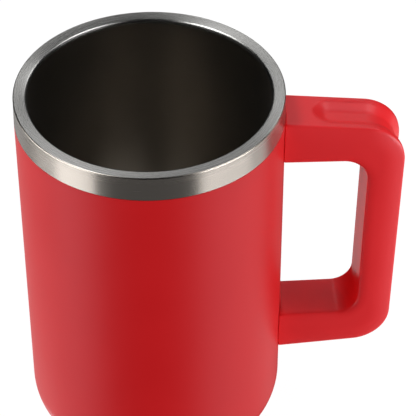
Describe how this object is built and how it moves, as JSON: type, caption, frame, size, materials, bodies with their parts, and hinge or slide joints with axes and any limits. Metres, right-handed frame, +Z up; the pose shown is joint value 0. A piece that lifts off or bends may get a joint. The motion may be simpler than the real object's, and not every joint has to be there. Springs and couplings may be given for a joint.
{
  "type": "insulated travel mug",
  "caption": "Wide double-walled steel travel mug with a coated outside, bare steel rim band, rounded base and a squared loop handle grooved along its back.",
  "frame": {"origin": "on the cup's axis at the flat underside it stands on", "axes": "+Z up along the cup's axis to the rim, +X from the axis towards the handle, +Y across the handle"},
  "size_m": [0.1444, 0.1002, 0.155],
  "materials": {
    "coated_wall": "satin red powder coat on steel",
    "brushed_rim": "bare steel brushed round the cup",
    "liner_steel": "satin steel inside, brushed lip",
    "plain_steel": "plain rolled sheet",
    "foil": "thin bright copper foil",
    "getter": "dull pressed metal powder",
    "seal": "dark solder glass",
    "handle_plastic": "satin red moulded plastic",
    "screw_steel": "zinc plated"
  },
  "bodies": {
    "root": {"outer_shell": "coated_wall", "rim_band": "brushed_rim", "inner_liner": "liner_steel", "inner_bottom": "liner_steel", "vacuum_bottom": "plain_steel", "vent_seal": "seal", "base_cap": "brushed_rim", "getter_cup": "plain_steel", "getter_tablet": "getter", "copper_foil": "foil", "handle_body": "handle_plastic", "handle_cover": "handle_plastic", "upper_bracket": "plain_steel", "lower_bracket": "plain_steel", "upper_screw_near_wall": "screw_steel", "upper_screw_at_tip": "screw_steel", "lower_screw_near_wall": "screw_steel", "lower_screw_at_tip": "screw_steel"}
  },
  "joints": []
}
